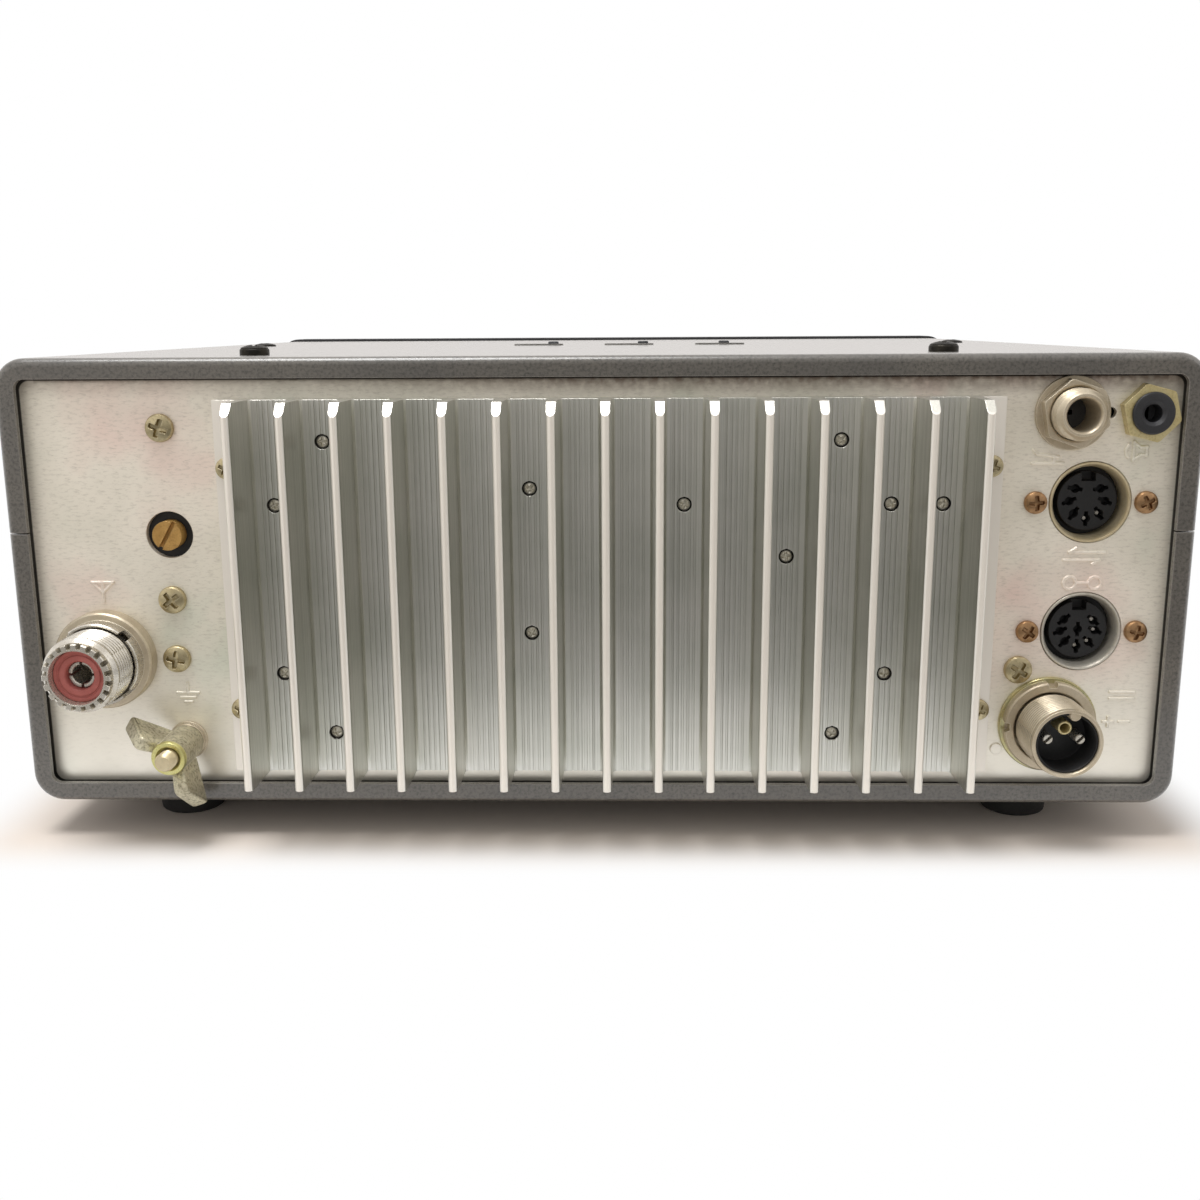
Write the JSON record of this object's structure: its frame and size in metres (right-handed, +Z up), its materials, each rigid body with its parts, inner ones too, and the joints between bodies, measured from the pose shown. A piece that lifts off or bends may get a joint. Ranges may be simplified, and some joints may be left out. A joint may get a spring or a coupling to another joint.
{
  "type": "amateur radio transceiver",
  "caption": "Boxy shortwave radio transceiver with a finned rear heat sink, antenna, power and signal sockets, a ground post, top sliders and turning front controls.",
  "frame": {"origin": "middle of the overall box, on the plane the feet stand on", "axes": "+Z up, -Y out of the front controls, +Y out of the rear heat sink"},
  "size_m": [0.2446, 0.271, 0.1042],
  "materials": {
    "case_paint": "satin speckled",
    "passivated_steel": "zinc passivated, rubbed",
    "plain_steel": "satin",
    "bezel_plastic": "matte",
    "foot_rubber": "matte",
    "black_screw": "satin",
    "zinc_screw": "dull zinc",
    "copper_screw": "dull",
    "sink_aluminium": "extruded, clear",
    "rotor_aluminium": "satin",
    "nickel_plate": "dull plate",
    "silver_plate": "bright",
    "tin_plate": "satin",
    "zinc_casting": "cast, dull",
    "brass": "dull",
    "phenolic": "satin",
    "black_plastic": "satin",
    "knob_plastic": "satin",
    "button_plastic": "satin",
    "dial_white": "matte",
    "needle_red": "satin",
    "clear_acrylic": "clear",
    "display_dark": "gloss",
    "board_green": "satin",
    "speaker_black": "matte"
  },
  "bodies": {
    "case": {"upper_cover": "case_paint", "lower_cover": "case_paint", "rear_panel": "passivated_steel", "chassis_frame": "plain_steel", "sub_panel": "plain_steel", "front_panel": "bezel_plastic", "rubber_feet": "foot_rubber", "cover_screws": "black_screw", "panel_screws": "zinc_screw", "heat_sink": "sink_aluminium", "spreader_screws": "zinc_screw", "heat_spreader": "sink_aluminium", "power_transistors": "black_plastic", "antenna_shell": "nickel_plate", "antenna_insulator": "phenolic", "antenna_contact": "silver_plate", "ring_nuts": "nickel_plate", "ground_stud": "nickel_plate", "trimmer_body": "black_plastic", "key_jack": "nickel_plate", "key_jack_nut": "nickel_plate", "ear_jack": "black_plastic", "ear_jack_nut": "brass", "din_shells": "tin_plate", "din_inserts": "black_plastic", "din_screws": "copper_screw", "inlet_shell": "nickel_plate", "inlet_insert": "black_plastic", "inlet_pins": "silver_plate", "slider_pots": "plain_steel", "vernier_drive": "brass", "capacitor_frame": "plain_steel", "control_pots": "plain_steel", "button_switches": "black_plastic", "meter_case": "dial_white", "clear_windows": "clear_acrylic", "display_module": "display_dark", "mic_socket": "nickel_plate", "phones_jack": "nickel_plate", "circuit_boards": "board_green", "shield_cans": "tin_plate", "loudspeaker": "speaker_black"},
    "tuning": {"tuning_knob": "knob_plastic", "tuning_shaft": "nickel_plate"},
    "capacitor": {"capacitor_rotor": "rotor_aluminium"},
    "band": {"band_knob": "knob_plastic"},
    "mode": {"mode_knob": "knob_plastic"},
    "gain": {"gain_knob": "knob_plastic"},
    "ring": {"ring_knob": "knob_plastic"},
    "offset": {"offset_knob": "knob_plastic"},
    "needle": {"meter_needle": "needle_red"},
    "button_1": {"button_one": "button_plastic"},
    "button_2": {"button_two": "button_plastic"},
    "button_3": {"button_three": "button_plastic"},
    "button_4": {"button_four": "button_plastic"},
    "slider_l": {"slider_left": "black_plastic"},
    "slider_m": {"slider_middle": "black_plastic"},
    "slider_r": {"slider_right": "black_plastic"},
    "wing": {"wing_nut": "zinc_casting"},
    "trimmer": {"trimmer_shaft": "brass"}
  },
  "joints": [
    {"name": "tuning_turn", "type": "hinge", "parent": "case", "child": "tuning", "pos_m": [0.004, 0, 0.041], "axis": [0, 1, 0], "range_deg": [-540, 540]},
    {"name": "capacitor_turn", "type": "hinge", "parent": "case", "child": "capacitor", "pos_m": [0.004, 0, 0.041], "axis": [0, 1, 0], "range_deg": [-90, 90]},
    {"name": "band_turn", "type": "hinge", "parent": "case", "child": "band", "pos_m": [0.092, 0, 0.076], "axis": [0, 1, 0], "range_deg": [-150, 150]},
    {"name": "mode_turn", "type": "hinge", "parent": "case", "child": "mode", "pos_m": [0.092, 0, 0.042], "axis": [0, 1, 0], "range_deg": [-60, 60]},
    {"name": "gain_turn", "type": "hinge", "parent": "case", "child": "gain", "pos_m": [0.058, 0, 0.042], "axis": [0, 1, 0], "range_deg": [-150, 150]},
    {"name": "ring_turn", "type": "hinge", "parent": "case", "child": "ring", "pos_m": [0.058, 0, 0.042], "axis": [0, 1, 0], "range_deg": [-150, 150]},
    {"name": "offset_turn", "type": "hinge", "parent": "case", "child": "offset", "pos_m": [0.058, 0, 0.076], "axis": [0, 1, 0], "range_deg": [-140, 140]},
    {"name": "needle_swing", "type": "hinge", "parent": "case", "child": "needle", "pos_m": [-0.086, 0, 0.063], "axis": [0, 1, 0], "range_deg": [0, 84], "stiffness_Nm_per_rad": 0.0004},
    {"name": "button_1_press", "type": "slide", "parent": "case", "child": "button_1", "axis": [0, 1, 0], "range_m": [0, 0.002], "stiffness_N_per_m": 150},
    {"name": "button_2_press", "type": "slide", "parent": "case", "child": "button_2", "axis": [0, 1, 0], "range_m": [0, 0.002], "stiffness_N_per_m": 150},
    {"name": "button_3_press", "type": "slide", "parent": "case", "child": "button_3", "axis": [0, 1, 0], "range_m": [0, 0.002], "stiffness_N_per_m": 150},
    {"name": "button_4_press", "type": "slide", "parent": "case", "child": "button_4", "axis": [0, 1, 0], "range_m": [0, 0.002], "stiffness_N_per_m": 150},
    {"name": "slider_l_slide", "type": "slide", "parent": "case", "child": "slider_l", "axis": [1, 0, 0], "range_m": [-0.0003, 0.0087]},
    {"name": "slider_m_slide", "type": "slide", "parent": "case", "child": "slider_m", "axis": [1, 0, 0], "range_m": [-0.0005, 0.0085]},
    {"name": "slider_r_slide", "type": "slide", "parent": "case", "child": "slider_r", "axis": [1, 0, 0], "range_m": [-0.0033, 0.0057]},
    {"name": "wing_spin", "type": "hinge", "parent": "case", "child": "wing", "pos_m": [0.0879, 0, 0.0212], "axis": [0, 1, 0], "continuous": true},
    {"name": "trimmer_turn", "type": "hinge", "parent": "case", "child": "trimmer", "pos_m": [0.0888, 0, 0.0657], "axis": [0, 1, 0], "range_deg": [-140, 140]}
  ],
  "couplings": [
    {"joint": "capacitor_turn", "follows": "tuning_turn", "ratio": 0.16667}
  ]
}
